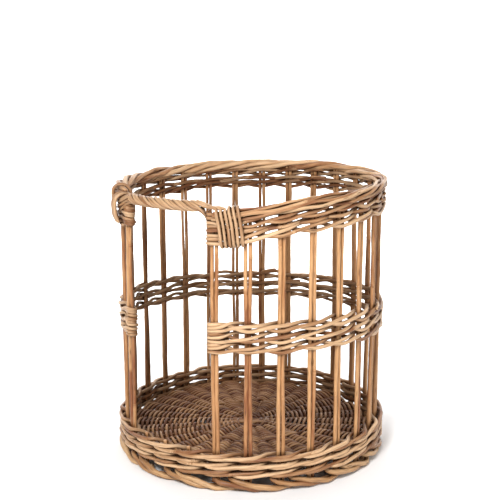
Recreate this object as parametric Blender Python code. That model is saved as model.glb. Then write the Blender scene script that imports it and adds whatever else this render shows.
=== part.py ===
"""Round open-sided bread basket of willow: upright stake pairs held by four woven bands.

The tall stakes stand on a circle, from the foot border up to the rolled rim border.
A gap between the left post and the front post is the opening that loaves are taken
through. Three short stakes fill the foot below it, and a twisted rope spans it at the rim.

Metres, +Z up, origin at the middle of the base on the surface that the basket stands on.
Angles run from the front (-Y) towards the right (+X).
"""

import math

import bmesh
import bpy
from mathutils import Matrix, Vector

# ---- Driving dimensions -------------------------------------------------------------

STAKE_CIRCLE_RADIUS = 0.1725
TALL_STAKE_COUNT = 24
SHORT_STAKE_COUNT = 3
LEFT_POST_ANGLE = math.radians(-64.0)
FRONT_POST_ANGLE = math.radians(-14.7)

ROD_DIAMETER = 0.0048
POST_ROD_DIAMETER = 0.0072
WEAVER_DIAMETER = 0.0044
PIECE_GAP = 0.0003

FOOT_HEIGHT = 0.018
FOOT_WIDTH = 0.024
FOOT_OVERHANG = 0.0048
FOOT_CORNER = 0.0040
FOOT_SOCKET_DEPTH = 0.009

BOTTOM_WALE_HEIGHT = 0.031
BOTTOM_WALE_OVERHANG = 0.0036
SHORT_STAKE_STUB = 0.0015

MIDDLE_WALE_LEVEL = 0.1885
MIDDLE_WALE_HEIGHT = 0.040
MIDDLE_WALE_TILT = math.radians(3.0)

RIM_LEVEL = 0.370
BORDER_HEIGHT = 0.0155
BORDER_WIDTH = 0.0190
BORDER_OVERHANG = 0.0045
BORDER_CORNER = 0.0045
BORDER_SOCKET_DEPTH = 0.008
TOP_WALE_HEIGHT = 0.0265
WALE_CORNER = 0.0018

# The rim lies tilted, highest at the right towards the back, and dips at the front post.
RIM_TILT_HEIGHT = 0.0048
RIM_TILT_ANGLE = math.radians(118.0)
RIM_DIP = 0.0124
RIM_DIP_ANGLE = FRONT_POST_ANGLE
RIM_DIP_SPREAD = math.radians(25.0)

BASE_THICKNESS = 0.009
BASE_STICK_WIDTH = 0.0060
BASE_STICK_HEIGHT = 0.0055
BASE_STICK_ARMS = 16
BASE_EDGE_GAP = 0.0006

ROPE_DIAMETER = 0.0130
ROPE_INSET = 0.0065
ROPE_SAG = 0.0012
ROPE_RISE = 0.0055
ROPE_CREST = 0.0015
ROPE_CLIMB_ANGLE = math.radians(4.0)
WRAP_THICKNESS = 0.0042
WRAP_SIDE_GAP = 0.0026
WRAP_CORNER = 0.0060

RING_STEPS = 48
BAND_STEPS = 46
WRAP_STEPS = 3
ROPE_STEPS = 30
ROD_SIDES = 8

# ---- Sizes that follow from them ----------------------------------------------------

FULL_TURN = 2.0 * math.pi
TALL_SWEEP = FULL_TURN - (FRONT_POST_ANGLE - LEFT_POST_ANGLE)
TALL_SPACING = TALL_SWEEP / (TALL_STAKE_COUNT - 1)
SHORT_SPACING = (FRONT_POST_ANGLE - LEFT_POST_ANGLE) / (SHORT_STAKE_COUNT + 1)

WALE_INNER = STAKE_CIRCLE_RADIUS - ROD_DIAMETER / 2 - WEAVER_DIAMETER
WALE_OUTER = STAKE_CIRCLE_RADIUS + ROD_DIAMETER / 2 + WEAVER_DIAMETER
FOOT_OUTER = WALE_OUTER + FOOT_OVERHANG
FOOT_INNER = FOOT_OUTER - FOOT_WIDTH
BORDER_OUTER = WALE_OUTER + BORDER_OVERHANG
BORDER_INNER = BORDER_OUTER - BORDER_WIDTH
BORDER_MIDDLE = (BORDER_OUTER + BORDER_INNER) / 2
RIM_INNER = min(WALE_INNER, BORDER_INNER)
RIM_OUTER = max(WALE_OUTER, BORDER_OUTER)

FOOT_SOCKET_FLOOR = FOOT_HEIGHT - FOOT_SOCKET_DEPTH
BOTTOM_WALE_BASE = FOOT_HEIGHT + PIECE_GAP
BOTTOM_WALE_TOP = BOTTOM_WALE_BASE + BOTTOM_WALE_HEIGHT
BORDER_BASE = RIM_LEVEL - BORDER_HEIGHT
TOP_WALE_TOP = BORDER_BASE - PIECE_GAP
TOP_WALE_BASE = TOP_WALE_TOP - TOP_WALE_HEIGHT

BASE_LEVEL = FOOT_HEIGHT + PIECE_GAP
BASE_RADIUS = WALE_INNER - BASE_EDGE_GAP

PAIR_HALF_WIDTH = ROD_DIAMETER + PIECE_GAP / 2
BAND_END_MARGIN = (PAIR_HALF_WIDTH + WEAVER_DIAMETER) / STAKE_CIRCLE_RADIUS
BAND_START = FRONT_POST_ANGLE - BAND_END_MARGIN
BAND_SWEEP = TALL_SWEEP + 2 * BAND_END_MARGIN
POST_HALF_WIDTH = max(POST_ROD_DIAMETER, ROD_DIAMETER) + PIECE_GAP / 2
WRAP_INSET = (POST_HALF_WIDTH + WRAP_SIDE_GAP) / STAKE_CIRCLE_RADIUS
WRAP_SWEEP = TALL_SPACING - 2 * WRAP_INSET

# ---- Finishes -----------------------------------------------------------------------

ROD_FINISH = ((0.50, 0.27, 0.12), 0.55)
LINER_FINISH = ((0.56, 0.33, 0.16), 0.55)
WALE_FINISH = ((0.60, 0.37, 0.18), 0.60)
BORDER_FINISH = ((0.58, 0.35, 0.17), 0.58)
BASE_FINISH = ((0.36, 0.21, 0.10), 0.65)
FOOT_FINISH = ((0.50, 0.28, 0.12), 0.60)
ROPE_FINISH = ((0.57, 0.32, 0.16), 0.55)


def clear_scene():
    """Remove whatever the file opened with."""
    for item in list(bpy.data.objects):
        bpy.data.objects.remove(item, do_unlink=True)


def finish(name, colour_and_roughness):
    """A plain wood finish of this node's own."""
    colour, roughness = colour_and_roughness
    material = bpy.data.materials.new(name)
    material.use_nodes = True
    shader = material.node_tree.nodes["Principled BSDF"]
    shader.inputs["Base Color"].default_value = (*colour, 1.0)
    shader.inputs["Roughness"].default_value = roughness
    shader.inputs["Metallic"].default_value = 0.0
    material.diffuse_color = (*colour, 1.0)
    return material


def add_object(name, mesh, look=None):
    """Put a bmesh into the scene as a named object, with its faces pointing out."""
    bmesh.ops.recalc_face_normals(mesh, faces=mesh.faces[:])
    data = bpy.data.meshes.new(name)
    mesh.to_mesh(data)
    mesh.free()
    item = bpy.data.objects.new(name, data)
    bpy.context.scene.collection.objects.link(item)
    if look:
        data.materials.append(finish(name, look))
        data.shade_smooth()
        data.set_sharp_from_angle(angle=math.radians(35.0))
    else:
        item.hide_render = True
        item.display_type = "WIRE"
    return item


def carve(item, other, operation="DIFFERENCE"):
    """Cut another object out of this one, or join it on."""
    cut = item.modifiers.new(other.name, "BOOLEAN")
    cut.operation = operation
    cut.solver = "EXACT"
    cut.object = other


def on_circle(angle, radius, height):
    """The point at an angle from the front, a radius and a height."""
    return Vector((radius * math.sin(angle), -radius * math.cos(angle), height))


def wrapped(angle):
    """The same angle, between half a turn left and half a turn right."""
    return (angle + math.pi) % FULL_TURN - math.pi


def bump(angle, middle, spread):
    """A smooth hump of height 1 around the middle angle."""
    return math.exp(-(wrapped(angle - middle) / spread) ** 2)


def rim_lift(place):
    """How far the rim stands above its level at a point's angle."""
    angle = math.atan2(place.x, -place.y)
    tilt = RIM_TILT_HEIGHT * math.cos(angle - RIM_TILT_ANGLE)
    return tilt - RIM_DIP * bump(angle, RIM_DIP_ANGLE, RIM_DIP_SPREAD)


def middle_lift(place):
    """The middle band lies tilted, higher at the front."""
    return -place.y * math.tan(MIDDLE_WALE_TILT)


def level(place):
    """No lift: the foot and the bottom band lie flat."""
    return 0.0


def stake_angle(index):
    """Tall stake 0 is the front post, and the last one is the left post."""
    return FRONT_POST_ANGLE + index * TALL_SPACING


def short_stake_angle(index):
    """Short stakes stand evenly between the left post and the front post."""
    return LEFT_POST_ANGLE + (index + 1) * SHORT_SPACING


def stake_top(angle):
    """The top of a tall stake, inside its socket in the border."""
    place = on_circle(angle, STAKE_CIRCLE_RADIUS, 0.0)
    return BORDER_BASE + rim_lift(place) + BORDER_SOCKET_DEPTH


def main_diameter(index):
    """The left post is a thicker rod than the other stakes."""
    return POST_ROD_DIAMETER if index == TALL_STAKE_COUNT - 1 else ROD_DIAMETER


def band_outline(inner, outer, base, top, corner):
    """The cross-section of a band: a block with its four corners cut."""
    return [
        (inner + corner, base),
        (outer - corner, base),
        (outer, base + corner),
        (outer, top - corner),
        (outer - corner, top),
        (inner + corner, top),
        (inner, top - corner),
        (inner, base + corner),
    ]


def turned_band(outline, start, sweep, steps, lift):
    """Turn a cross-section about the basket's axis, closed on itself or ended by flat faces."""
    mesh = bmesh.new()
    corners = [mesh.verts.new(on_circle(start, radius, height)) for radius, height in outline]
    section = mesh.faces.new(corners)
    closed = sweep > FULL_TURN - 1e-6
    geometry = section.edges[:] if closed else [section]
    if closed:
        bmesh.ops.delete(mesh, geom=[section], context="FACES_ONLY")
    bmesh.ops.spin(
        mesh,
        geom=geometry,
        cent=(0.0, 0.0, 0.0),
        axis=(0.0, 0.0, 1.0),
        angle=sweep,
        steps=steps,
        use_merge=closed,
    )
    bmesh.ops.remove_doubles(mesh, verts=mesh.verts[:], dist=1e-6)
    for vert in mesh.verts:
        vert.co.z += lift(vert.co)
    return mesh


def rod_mesh(diameter, base, top):
    """A straight rod with flat ends, standing on the axis."""
    mesh = bmesh.new()
    bmesh.ops.create_cone(
        mesh,
        cap_ends=True,
        segments=ROD_SIDES,
        radius1=diameter / 2,
        radius2=diameter / 2,
        depth=top - base,
        matrix=Matrix.Rotation(math.pi / ROD_SIDES, 4, "Z"),
    )
    bmesh.ops.translate(mesh, verts=mesh.verts[:], vec=(0.0, 0.0, (top + base) / 2))
    return mesh


def stand_at(angle, aside):
    """Moves a rod out to the stake circle, a little to one side of the angle."""
    return (
        Matrix.Rotation(angle, 4, "Z")
        @ Matrix.Translation((aside, -STAKE_CIRCLE_RADIUS, 0.0))
    )


def add_stake(name, diameter, angle, aside, base, top, look):
    """One upright rod."""
    mesh = rod_mesh(diameter, base, top)
    bmesh.ops.transform(mesh, matrix=stand_at(angle, aside), verts=mesh.verts[:])
    return add_object(name, mesh, look)


def add_slot(mesh, angle, left, right, width, base, top):
    """An upright slot with round ends that clears a pair of rods, or one rod."""
    radius = (width / 2 + PIECE_GAP) / math.cos(math.pi / ROD_SIDES)
    made = bmesh.ops.create_cone(
        mesh,
        cap_ends=True,
        segments=ROD_SIDES,
        radius1=radius,
        radius2=radius,
        depth=top - base,
        matrix=Matrix.Rotation(math.pi / ROD_SIDES, 4, "Z"),
    )["verts"]
    for vert in made:
        vert.co.x += right - width / 2 if vert.co.x > 0 else left + width / 2
        vert.co.z += (top + base) / 2
    bmesh.ops.transform(mesh, matrix=stand_at(angle, 0.0), verts=made)


def add_stake_slots():
    """The sockets and slots for every stake, as one cutter."""
    mesh = bmesh.new()
    base = FOOT_SOCKET_FLOOR
    for index in range(TALL_STAKE_COUNT):
        angle = stake_angle(index)
        main = main_diameter(index)
        left = -main - PIECE_GAP / 2
        right = ROD_DIAMETER + PIECE_GAP / 2
        top = stake_top(angle) + PIECE_GAP
        add_slot(mesh, angle, left, right, max(main, ROD_DIAMETER), base, top)
    for index in range(SHORT_STAKE_COUNT):
        top = BOTTOM_WALE_TOP + SHORT_STAKE_STUB + PIECE_GAP
        half = ROD_DIAMETER / 2
        add_slot(mesh, short_stake_angle(index), -half, half, ROD_DIAMETER, base, top)
    return add_object("stake_slots", mesh)


def add_stakes():
    """The tall stakes with a liner beside each, and the short stakes of the opening."""
    base = FOOT_SOCKET_FLOOR + PIECE_GAP
    for index in range(TALL_STAKE_COUNT):
        angle = stake_angle(index)
        main = main_diameter(index)
        aside = (main + PIECE_GAP) / 2
        liner_aside = (ROD_DIAMETER + PIECE_GAP) / 2
        top = stake_top(angle)
        number = f"{index + 1:02d}"
        add_stake("stake_" + number, main, angle, -aside, base, top, ROD_FINISH)
        add_stake("liner_" + number, ROD_DIAMETER, angle, liner_aside, base, top, LINER_FINISH)
    for index in range(SHORT_STAKE_COUNT):
        angle = short_stake_angle(index)
        top = BOTTOM_WALE_TOP + SHORT_STAKE_STUB
        add_stake(f"short_stake_{index + 1}", ROD_DIAMETER, angle, 0.0, base, top, ROD_FINISH)


def add_bands(slots):
    """The foot border and the three woven bands, each with a slot for every stake."""
    foot = band_outline(FOOT_INNER, FOOT_OUTER, 0.0, FOOT_HEIGHT, FOOT_CORNER)
    bottom_outer = WALE_OUTER + BOTTOM_WALE_OVERHANG
    bottom = band_outline(
        WALE_INNER, bottom_outer, BOTTOM_WALE_BASE, BOTTOM_WALE_TOP, WALE_CORNER
    )
    middle_base = MIDDLE_WALE_LEVEL - MIDDLE_WALE_HEIGHT / 2
    middle_top = MIDDLE_WALE_LEVEL + MIDDLE_WALE_HEIGHT / 2
    middle = band_outline(WALE_INNER, WALE_OUTER, middle_base, middle_top, WALE_CORNER)
    top = band_outline(WALE_INNER, WALE_OUTER, TOP_WALE_BASE, TOP_WALE_TOP, WALE_CORNER)
    border = band_outline(BORDER_INNER, BORDER_OUTER, BORDER_BASE, RIM_LEVEL, BORDER_CORNER)
    whole = (0.0, FULL_TURN, RING_STEPS)
    part = (BAND_START, BAND_SWEEP, BAND_STEPS)
    bands = [
        ("foot_border", foot, whole, level, FOOT_FINISH),
        ("bottom_wale", bottom, whole, level, WALE_FINISH),
        ("middle_wale", middle, part, middle_lift, WALE_FINISH),
        ("top_wale", top, part, rim_lift, WALE_FINISH),
        ("top_border", border, part, rim_lift, BORDER_FINISH),
    ]
    for name, outline, (start, sweep, steps), lift, look in bands:
        band = add_object(name, turned_band(outline, start, sweep, steps, lift), look)
        carve(band, slots)


def star_mesh(radius, width, base, top):
    """Crossed sticks as one star: equal arms about the middle."""
    mesh = bmesh.new()
    half = width / 2
    arm_turn = FULL_TURN / BASE_STICK_ARMS
    notch = half / math.sin(arm_turn / 2)
    corners = []
    for arm in range(BASE_STICK_ARMS):
        angle = arm * arm_turn
        side = math.asin(half / radius)
        corners.append(mesh.verts.new(on_circle(angle - side, radius, base)))
        corners.append(mesh.verts.new(on_circle(angle + side, radius, base)))
        corners.append(mesh.verts.new(on_circle(angle + arm_turn / 2, notch, base)))
    face = mesh.faces.new(corners)
    made = bmesh.ops.extrude_face_region(mesh, geom=[face])["geom"]
    raised = [item for item in made if isinstance(item, bmesh.types.BMVert)]
    bmesh.ops.translate(mesh, verts=raised, vec=(0.0, 0.0, top - base))
    return mesh


def add_base():
    """The floor: a woven disc with crossed sticks let into its underside."""
    stick_top = BASE_LEVEL + BASE_STICK_HEIGHT
    sticks = star_mesh(BASE_RADIUS, BASE_STICK_WIDTH, BASE_LEVEL, stick_top)
    add_object("base_sticks", sticks, BASE_FINISH)

    channel_width = BASE_STICK_WIDTH + 2 * PIECE_GAP
    channel_radius = BASE_RADIUS + FOOT_WIDTH
    channel_base = BASE_LEVEL - BASE_STICK_HEIGHT
    channels = star_mesh(channel_radius, channel_width, channel_base, stick_top + PIECE_GAP)

    disc = bmesh.new()
    bmesh.ops.create_cone(
        disc,
        cap_ends=True,
        segments=RING_STEPS,
        radius1=BASE_RADIUS,
        radius2=BASE_RADIUS,
        depth=BASE_THICKNESS,
        matrix=Matrix.Translation((0.0, 0.0, BASE_LEVEL + BASE_THICKNESS / 2)),
    )
    weave = add_object("base_weave", disc, BASE_FINISH)
    carve(weave, add_object("stick_channels", channels))


def smooth_step(value):
    """0 below 0, 1 above 1, and an even curve between."""
    value = min(max(value, 0.0), 1.0)
    return value * value * (3.0 - 2.0 * value)


def rim_height(angle):
    """The top of the rim border at an angle."""
    return RIM_LEVEL + rim_lift(on_circle(angle, BORDER_MIDDLE, 0.0))


def rope_point(angle):
    """The rope's centre line: nearly straight across the opening, up over the band at each end."""
    left_end = BAND_START + BAND_SWEEP - FULL_TURN
    right_end = BAND_START
    across = (angle - left_end) / (right_end - left_end)
    slack = math.sin(math.pi * min(max(across, 0.0), 1.0))
    radius = BORDER_MIDDLE - ROPE_INSET * slack
    place = on_circle(angle, radius, 0.0)
    past_left = (left_end - angle) / ROPE_CLIMB_ANGLE + 0.5
    past_right = (angle - right_end) / ROPE_CLIMB_ANGLE + 0.5
    climb = smooth_step(max(past_left, past_right))
    left_low = rim_height(left_end) - BORDER_HEIGHT / 2
    right_low = rim_height(right_end) - BORDER_HEIGHT / 2 + ROPE_RISE
    low = left_low + (right_low - left_low) * across - ROPE_SAG * slack
    high = rim_height(angle) - ROPE_CREST
    place.z = low + (high - low) * climb
    return place


def add_front_rope():
    """The twisted rope of the opening, with the windings that tie it round the band's ends."""
    grow = PIECE_GAP
    envelope = band_outline(
        RIM_INNER - grow,
        RIM_OUTER + grow,
        TOP_WALE_BASE - grow,
        RIM_LEVEL + grow,
        WALE_CORNER,
    )
    end_gap = grow / STAKE_CIRCLE_RADIUS
    clearance = turned_band(
        envelope, BAND_START - end_gap, BAND_SWEEP + 2 * end_gap, BAND_STEPS, rim_lift
    )
    rim_clearance = add_object("rim_clearance", clearance)

    grow = PIECE_GAP + WRAP_THICKNESS
    winding = band_outline(
        RIM_INNER - grow,
        RIM_OUTER + grow,
        TOP_WALE_BASE - grow,
        RIM_LEVEL + grow,
        WRAP_CORNER,
    )
    left_wrap = stake_angle(TALL_STAKE_COUNT - 2) + WRAP_INSET
    right_wrap = FRONT_POST_ANGLE + WRAP_INSET
    first = left_wrap + WRAP_SWEEP / 2 - FULL_TURN
    last = right_wrap + WRAP_SWEEP / 2

    route = bpy.data.curves.new("rope_route", "CURVE")
    route.dimensions = "3D"
    route.bevel_depth = ROPE_DIAMETER / 2
    route.bevel_resolution = 2
    route.use_fill_caps = True
    spline = route.splines.new("POLY")
    spline.points.add(ROPE_STEPS)
    for step, point in enumerate(spline.points):
        place = rope_point(first + (last - first) * step / ROPE_STEPS)
        point.co = (*place, 1.0)
    guide = bpy.data.objects.new("rope_route", route)
    bpy.context.scene.collection.objects.link(guide)
    bpy.context.view_layer.update()
    drawn = guide.evaluated_get(bpy.context.evaluated_depsgraph_get())
    mesh = bmesh.new()
    mesh.from_mesh(drawn.to_mesh())
    bpy.data.objects.remove(guide, do_unlink=True)
    bmesh.ops.remove_doubles(mesh, verts=mesh.verts[:], dist=1e-6)
    rope = add_object("front_rope", mesh, ROPE_FINISH)

    for side, start in (("left", left_wrap), ("right", right_wrap)):
        wrap = turned_band(winding, start, WRAP_SWEEP, WRAP_STEPS, rim_lift)
        carve(rope, add_object(side + "_winding", wrap), "UNION")
    carve(rope, rim_clearance)


def main():
    clear_scene()
    add_stakes()
    add_bands(add_stake_slots())
    add_base()
    add_front_rope()


main()
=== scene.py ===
"""The finished bread basket: every rod of its weave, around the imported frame."""

import math
import random

import bmesh
import bpy
import numpy as np
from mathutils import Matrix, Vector


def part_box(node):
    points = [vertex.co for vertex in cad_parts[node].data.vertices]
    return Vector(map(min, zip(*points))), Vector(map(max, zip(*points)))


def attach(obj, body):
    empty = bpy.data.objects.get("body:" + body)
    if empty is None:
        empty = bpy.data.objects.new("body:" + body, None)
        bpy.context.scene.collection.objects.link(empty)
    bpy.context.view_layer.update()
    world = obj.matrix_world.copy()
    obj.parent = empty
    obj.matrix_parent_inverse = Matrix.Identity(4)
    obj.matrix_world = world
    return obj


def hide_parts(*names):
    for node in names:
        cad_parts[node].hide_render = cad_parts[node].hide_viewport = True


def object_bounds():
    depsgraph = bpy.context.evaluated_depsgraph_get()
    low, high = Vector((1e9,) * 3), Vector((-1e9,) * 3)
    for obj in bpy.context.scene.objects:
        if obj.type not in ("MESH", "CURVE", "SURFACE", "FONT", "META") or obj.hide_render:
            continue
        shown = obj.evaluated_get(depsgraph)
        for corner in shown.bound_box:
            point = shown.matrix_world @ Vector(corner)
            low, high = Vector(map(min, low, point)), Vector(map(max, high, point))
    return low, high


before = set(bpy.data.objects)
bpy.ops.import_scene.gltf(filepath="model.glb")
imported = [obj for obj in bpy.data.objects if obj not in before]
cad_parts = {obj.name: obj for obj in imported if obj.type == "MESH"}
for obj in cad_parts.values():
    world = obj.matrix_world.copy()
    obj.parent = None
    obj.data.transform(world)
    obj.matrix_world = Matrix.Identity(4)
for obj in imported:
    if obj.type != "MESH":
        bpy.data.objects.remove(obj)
cad_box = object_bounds()

FULL_TURN = 2.0 * math.pi
TALL_STAKES = 24
SHORT_STAKES = 3
RING_STAKES = TALL_STAKES + SHORT_STAKES

# Rod sizes
STAKE_RADIUS = 0.0024
POST_RADIUS = 0.0042
WEAVER_RADIUS = 0.0023
BOTTOM_WEAVER_RADIUS = 0.0025
BORDER_ROD_RADIUS = 0.0023
FOOT_ROD_RADIUS = 0.0036
ROPE_ROD_RADIUS = 0.0019
FLOOR_WEAVER_RADIUS = 0.0021
FLOOR_STICK_RADIUS = 0.0023

# Bands, as the part has them
MIDDLE_BAND_HEIGHT = 0.040
TOP_BAND_HEIGHT = 0.0265
BORDER_HEIGHT = 0.0155
BORDER_WIDTH = 0.0190
BORDER_SOCKET = 0.008

# How finely rods are drawn
SIDES = 10
FLOOR_SIDES = 8
FINE_STEP = 0.0035
ROPE_STEP = 0.0026

# How uneven a rod is
GIRTH_WAVE = (0.045, 0.12)
KNOT_SPACING = 0.055
KNOT_LENGTH = 0.0035
KNOT_SWELL = 0.09
ROD_LENGTH = 0.30
TONE_BLEND = 0.006

luck = random.Random(11)


# ---- The frame's own places ---------------------------------------------------------


def middle_of(node):
    """The middle of a node's box."""
    low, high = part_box(node)
    return (Vector(low) + Vector(high)) / 2


def angle_of(place):
    """A point's angle from the front, growing towards the right."""
    return math.atan2(place.x, -place.y)


def on_circle(angle, radius, height):
    """The point at an angle from the front, a radius and a height."""
    return Vector((radius * math.sin(angle), -radius * math.cos(angle), height))


def unwound(angles):
    """The same angles, each larger than the one before."""
    out = [angles[0]]
    for angle in angles[1:]:
        while angle < out[-1]:
            angle += FULL_TURN
        out.append(angle)
    return out


pair_middles = [
    (middle_of(f"stake_{i + 1:02d}") + middle_of(f"liner_{i + 1:02d}")) / 2
    for i in range(TALL_STAKES)
]
short_middles = [middle_of(f"short_stake_{i + 1}") for i in range(SHORT_STAKES)]
STAKE_CIRCLE = pair_middles[1].xy.length
stake_angles = unwound([angle_of(p) for p in pair_middles + short_middles])
SPACING = (stake_angles[TALL_STAKES - 1] - stake_angles[0]) / (TALL_STAKES - 1)
FRONT_POST = stake_angles[0]
LEFT_POST = stake_angles[TALL_STAKES - 1]

bottom_low, bottom_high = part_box("bottom_wale")
middle_low, middle_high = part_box("middle_wale")
FOOT_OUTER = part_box("foot_border")[1][0]
BOTTOM_OUTER = bottom_high[0]
WALE_OUTER = middle_high[0]
BORDER_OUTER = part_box("top_border")[1][0]
MIDDLE_LEVEL = (middle_low[2] + middle_high[2]) / 2
MIDDLE_SLOPE = (middle_high[2] - middle_low[2] - MIDDLE_BAND_HEIGHT) / 2 / WALE_OUTER
BORDER_MIDDLE = BORDER_OUTER - BORDER_WIDTH / 2
stake_tops = [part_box(f"stake_{i + 1:02d}")[1][2] for i in range(TALL_STAKES)]


def angle_at(position):
    """The angle at a stake number, which may lie between two stakes."""
    turns, rest = divmod(position, RING_STAKES)
    first = int(rest)
    here = stake_angles[first]
    after = stake_angles[first + 1] if first + 1 < RING_STAKES else stake_angles[0] + FULL_TURN
    return here + (after - here) * (rest - first) + turns * FULL_TURN


def smooth_step(value):
    """0 up to 0, 1 from 1 on, and eased between them."""
    value = min(max(value, 0.0), 1.0)
    return value * value * (3.0 - 2.0 * value)


def curve_through(values, place, closed=False):
    """A smooth curve through evenly spaced values, read at a place counted in steps."""
    count = len(values)
    first = math.floor(place)
    part = place - first

    def pick(index):
        return values[index % count] if closed else values[min(max(index, 0), count - 1)]

    before, here, after, last = (pick(first + k) for k in (-1, 0, 1, 2))
    slope_here = (after - before) / 2
    slope_after = (last - here) / 2
    square, cube = part * part, part**3
    return (
        here * (2 * cube - 3 * square + 1)
        + slope_here * (cube - 2 * square + part)
        + after * (3 * square - 2 * cube)
        + slope_after * (cube - square)
    )


def smooth_path(marks, step=FINE_STEP):
    """Points about a step apart on the smooth curve through the marks."""
    points = []
    for index in range(len(marks) - 1):
        pieces = max(1, round((marks[index + 1] - marks[index]).length / step))
        for k in range(pieces):
            points.append(curve_through(marks, index + k / pieces))
    points.append(marks[-1].copy())
    return points


def border_base(angle):
    """The height of the border's underside at an angle, carried across the opening too."""
    turned = (angle - FRONT_POST) % FULL_TURN
    sweep = LEFT_POST - FRONT_POST
    if turned <= sweep:
        return curve_through(stake_tops, turned / SPACING) - BORDER_SOCKET
    across = (turned - sweep) / (FULL_TURN - sweep)
    return stake_tops[-1] + (stake_tops[0] - stake_tops[-1]) * smooth_step(across) - BORDER_SOCKET


# ---- Making rods --------------------------------------------------------------------


class Waver:
    """A rod's own small bends: a few slow waves of random phase."""

    def __init__(self, size, longest=0.16):
        self.waves = [
            (size * share, longest * share * luck.uniform(0.8, 1.2), luck.uniform(0, FULL_TURN))
            for share in (1.0, 0.55, 0.3)
        ]

    def at(self, length):
        return sum(
            size * math.sin(FULL_TURN * length / wave + phase)
            for size, wave, phase in self.waves
        )


def marks_along(length, every):
    """Random places along a rod, about so far apart."""
    places = []
    at = luck.uniform(0.2, 1.0) * every
    while at < length:
        places.append(at)
        at += every * luck.uniform(0.6, 1.5)
    return places


def path_lengths(points):
    """How far along the rod each point lies."""
    lengths = [0.0]
    for a, b in zip(points, points[1:]):
        lengths.append(lengths[-1] + (b - a).length)
    return lengths


def rod_radii(points, radius, taper=0.0):
    """A rod's radius at each point: a taper, slow waves and a swelling at every knot."""
    lengths = path_lengths(points)
    total = max(lengths[-1], 1e-6)
    waver = Waver(*GIRTH_WAVE)
    swellings = marks_along(total, KNOT_SPACING)
    radii = []
    for length in lengths:
        swell = sum(math.exp(-(((length - at) / KNOT_LENGTH) ** 2)) for at in swellings)
        radii.append(radius * (1 - taper * length / total + waver.at(length) + KNOT_SWELL * swell))
    return radii


def rod_tones(lengths):
    """A weaver is several rods laid end to end, so its tone changes at each join."""
    joins = marks_along(lengths[-1], ROD_LENGTH)
    tones = [luck.random() for _ in range(len(joins) + 1)]
    out = []
    for length in lengths:
        tone = tones[0]
        for join, after in zip(joins, tones[1:]):
            tone += (after - tone) * smooth_step((length - join) / TONE_BLEND)
        out.append(tone)
    return out


# The two rings that close a rod's end: how far out and how wide, in the rod's radius
ROUNDED_END = [(0.85, 0.0), (0.65, 0.72)]
CUT_END = [(0.05, 0.0), (0.03, 0.9)]


def with_ends(points, radii, rounded):
    """The same path with its two ends closed, cut flat or rounded off."""
    first_way = (points[0] - points[1]).normalized()
    last_way = (points[-1] - points[-2]).normalized()
    head = ROUNDED_END if rounded else CUT_END
    start = [(points[0] + first_way * radii[0] * out, radii[0] * size) for out, size in head]
    end = [(points[-1] + last_way * radii[-1] * out, radii[-1] * size) for out, size in head]
    pairs = start + list(zip(points, radii)) + end[::-1]
    return [p for p, _ in pairs], [r for _, r in pairs]


woven_pieces = []


def rods_piece(name, rods, material, replaced, closed=False, sides=SIDES, rounded=False):
    """One mesh of swept rods. A rod is (points, radii, shade), shade being painted shade, darker
    where the rod is hidden.

    The mesh gets the rod's length and girth as its UV map, and tones that follow each rod.
    """
    curve = bpy.data.curves.new(name, "CURVE")
    curve.dimensions = "3D"
    curve.bevel_depth = 1.0
    curve.bevel_resolution = (sides - 4) // 2
    counts, tones, shades, lengths = [], [], [], []
    for points, radii, shade in rods:
        if not closed:
            points, radii = with_ends(points, radii, rounded)
            shade = [shade[0]] * 2 + list(shade) + [shade[-1]] * 2
        lengths_here = path_lengths(points)
        spline = curve.splines.new("POLY")
        spline.points.add(len(points) - 1)
        spline.points.foreach_set("co", [c for p in points for c in (*p, 1.0)])
        spline.points.foreach_set("radius", radii)
        spline.use_cyclic_u = closed
        counts.append(len(points))
        tones.append(rod_tones(lengths_here))
        shades.append(shade)
        lengths.append(lengths_here[-1])
    guide = bpy.data.objects.new(name + "_guide", curve)
    bpy.context.scene.collection.objects.link(guide)
    bpy.context.view_layer.update()
    drawn = guide.evaluated_get(bpy.context.evaluated_depsgraph_get())
    data = bpy.data.meshes.new_from_object(drawn)
    bpy.data.objects.remove(guide, do_unlink=True)
    data.name = name

    # The painted shade goes onto the mesh as its shade attribute, beside each rod's tone
    tone = np.repeat(np.concatenate(tones), sides)
    shade = np.repeat(np.concatenate(shades), sides)
    for label, values in (("tone", tone), ("shade", shade)):
        layer = data.attributes.new(label, "FLOAT", "POINT")
        layer.data.foreach_set("value", values.astype(np.float32))

    corner_vertex = np.zeros(len(data.loops), np.int32)
    data.loops.foreach_get("vertex_index", corner_vertex)
    uv = np.zeros(len(data.loops) * 2, np.float32)
    data.uv_layers[0].data.foreach_get("uv", uv)
    uv = uv.reshape(-1, 2)
    total = np.repeat(lengths, [count * sides for count in counts])
    uv[:, 0] *= total[corner_vertex]
    data.uv_layers[0].data.foreach_set("uv", uv.ravel())

    mesh = bmesh.new()
    mesh.from_mesh(data)
    bmesh.ops.remove_doubles(mesh, verts=mesh.verts[:], dist=2e-6)
    bmesh.ops.recalc_face_normals(mesh, faces=mesh.faces[:])
    mesh.to_mesh(data)
    mesh.free()
    data.shade_smooth()
    data.materials.clear()
    data.materials.append(material)
    piece = bpy.data.objects.new(name, data)
    bpy.context.scene.collection.objects.link(piece)
    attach(piece, "root")
    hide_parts(*replaced)
    woven_pieces.append(piece)


# Painted shade in crevices: the grid's cell and margin, how far out it is read, and what counts as
# full
CREVICE_CELL = 0.0016
CREVICE_MARGIN = 0.03
CREVICE_REACH = 0.0050
CREVICE_FULL = 0.66
CREVICE_CURVE = 1.35
OWN_SHARE = 0.6

# Painted shade on the inside: how dark, how far below the rim it starts and is full, and where it
# turns inward
INSIDE_SHADE = 0.62
INSIDE_START = 0.014
INSIDE_FADE = 0.05
INSIDE_TURN = 0.12


def blurred(grid, times):
    """The same grid, softened over its neighbours in all three directions."""
    for _ in range(times):
        for axis in range(3):
            grid = (np.roll(grid, 1, axis) + grid + np.roll(grid, -1, axis)) / 3
    return grid


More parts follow.
